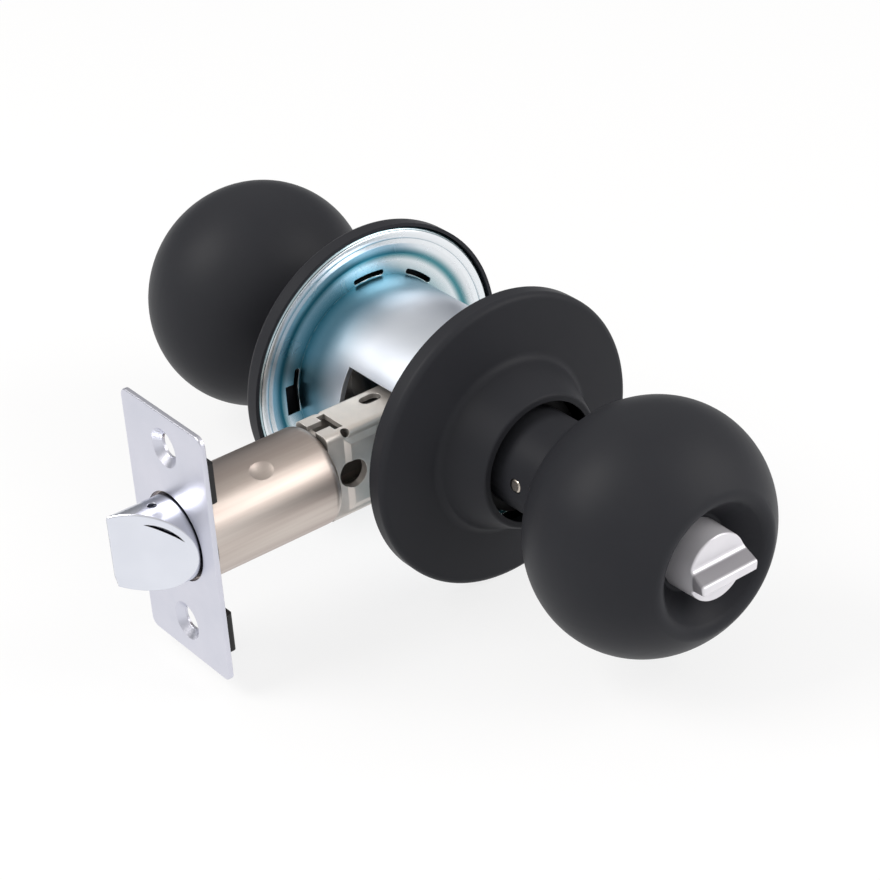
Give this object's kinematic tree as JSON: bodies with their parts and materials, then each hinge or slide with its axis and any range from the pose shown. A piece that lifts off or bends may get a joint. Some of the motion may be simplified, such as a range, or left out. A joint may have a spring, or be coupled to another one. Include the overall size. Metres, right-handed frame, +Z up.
{
  "type": "privacy door knob set",
  "caption": "Privacy door knob set: ball knobs on round roses either side of a cylindrical chassis, with a turn button in the inside knob and a spring latch with its faceplate.",
  "frame": {"origin": "where the knobs' axis crosses the latch's axis, inside the chassis", "axes": "+Z up; the knobs turn about Y with the outside knob at +Y and the inside knob, which has the turn button, at -Y; the latch points to -X"},
  "size_m": [0.1161, 0.1804, 0.0656],
  "materials": {
    "satin_black": "satin black baked on drawn steel",
    "bright_zinc": "bright zinc plate with a faint blue tint",
    "blackened_steel": "turned steel with a black oxide",
    "bright_chrome": "bright chrome plate",
    "satin_chrome": "satin chrome plate",
    "satin_nickel": "satin nickel plate with a warm tint",
    "fork_steel": "pressed steel with a dull zinc plate",
    "black_plastic": "moulded black plastic",
    "spring_steel": "hard drawn spring steel",
    "plain_steel": "plain pressed and turned steel"
  },
  "bodies": {
    "chassis": {"chassis_case": "bright_zinc", "case_cap": "bright_zinc", "inside_rose": "satin_black", "outside_rose": "satin_black", "inside_hub": "blackened_steel", "outside_hub": "blackened_steel", "outside_rose_liner": "bright_zinc", "inside_mounting_plate": "bright_zinc", "mounting_screws": "bright_zinc", "spring_frame": "plain_steel", "retractor_springs": "spring_steel", "latch_faceplate": "satin_chrome", "faceplate_backing": "black_plastic", "latch_tube": "satin_nickel", "latch_fork": "fork_steel", "bolt_spring": "spring_steel"},
    "inside_knob": {"inside_knob": "satin_black", "inside_spindle": "plain_steel", "inside_knob_catch": "spring_steel", "inside_stem_bush": "black_plastic"},
    "outside_knob": {"outside_knob": "satin_black", "outside_spindle": "plain_steel", "outside_knob_catch": "spring_steel", "outside_stem_bush": "black_plastic"},
    "turn_button": {"turn_button": "bright_chrome", "turn_stem": "plain_steel", "button_clip": "spring_steel", "lock_dog": "plain_steel", "release_tip": "plain_steel"},
    "latch_bolt": {"latch_bolt": "satin_chrome", "latch_tail": "plain_steel", "tail_pin": "plain_steel"},
    "retractor": {"retractor": "plain_steel"}
  },
  "joints": [
    {"name": "inside_knob_turn", "type": "hinge", "parent": "chassis", "child": "inside_knob", "pos_m": [0, 0, 0], "axis": [0, 1, 0], "range_deg": [-60, 60], "stiffness_Nm_per_rad": 0.5},
    {"name": "outside_knob_turn", "type": "hinge", "parent": "chassis", "child": "outside_knob", "pos_m": [0, 0, 0], "axis": [0, 1, 0], "range_deg": [-60, 60], "stiffness_Nm_per_rad": 0.5},
    {"name": "turn_button_turn", "type": "hinge", "parent": "inside_knob", "child": "turn_button", "pos_m": [0, 0, 0], "axis": [0, 1, 0], "range_deg": [0, 90]},
    {"name": "latch_bolt_slide", "type": "slide", "parent": "chassis", "child": "latch_bolt", "axis": [1, 0, 0], "range_m": [0, 0.0127], "stiffness_N_per_m": 400, "springref_m": -0.008, "deforming": ["bolt_spring"]},
    {"name": "retractor_slide", "type": "slide", "parent": "chassis", "child": "retractor", "axis": [1, 0, 0], "range_m": [0, 0.0127], "stiffness_N_per_m": 300, "springref_m": -0.008, "deforming": ["retractor_springs"]}
  ],
  "couplings": [
    {"joint": "retractor_slide", "follows": "latch_bolt_slide", "ratio": 1}
  ]
}
